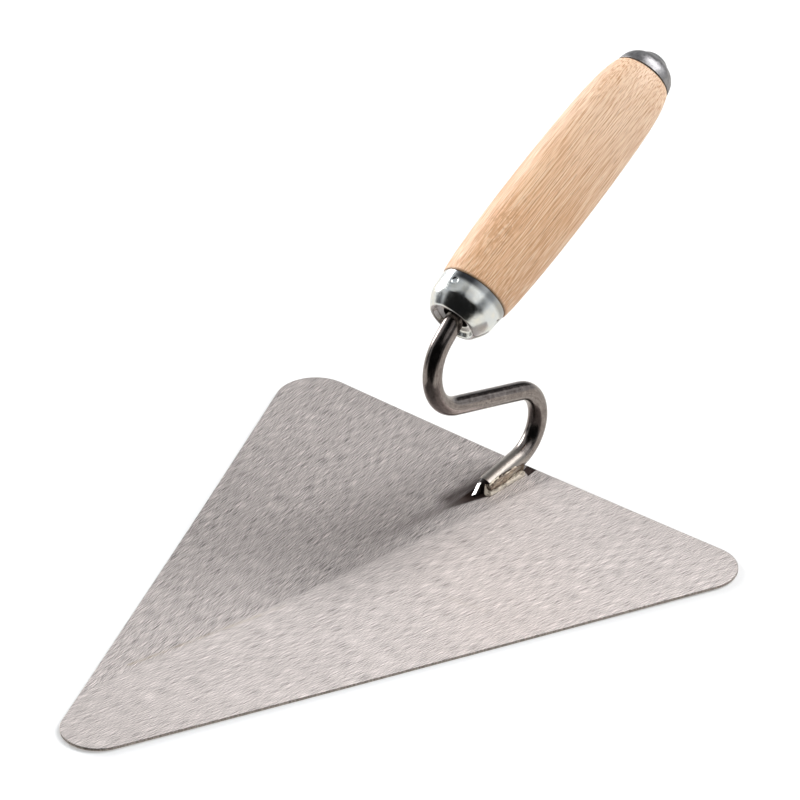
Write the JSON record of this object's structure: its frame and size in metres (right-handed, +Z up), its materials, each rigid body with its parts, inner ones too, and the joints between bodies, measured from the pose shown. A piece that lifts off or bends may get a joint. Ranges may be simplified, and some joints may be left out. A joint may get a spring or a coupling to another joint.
{
  "type": "bricklaying trowel",
  "caption": "Flat triangular steel trowel with a cranked round-rod neck, steel ferrule, turned wooden handle and steel end cap.",
  "frame": {"origin": "on the underside of the blade, on the plane of symmetry, 15 mm in front of the back edge, below the middle of the neck's weld", "axes": "X across the blade, +Y from the tip to the handle, +Z up out of the blade's working face towards the handle"},
  "size_m": [0.2374, 0.3537, 0.1651],
  "materials": {
    "blade_steel": "belt ground, strokes fan out from the tip",
    "rod_steel": "bare drawn rod, dark semi-gloss",
    "weld_metal": "weld metal with brown heat tint",
    "zinc_plate": "bright zinc plate",
    "cap_steel": "pressed steel, satin",
    "beech": "turned and sanded, uncoated"
  },
  "bodies": {
    "root": {"blade": "blade_steel", "neck": "rod_steel", "weld_bead_left": "weld_metal", "weld_bead_right": "weld_metal", "ferrule": "zinc_plate", "handle": "beech", "end_cap": "cap_steel"}
  },
  "joints": []
}
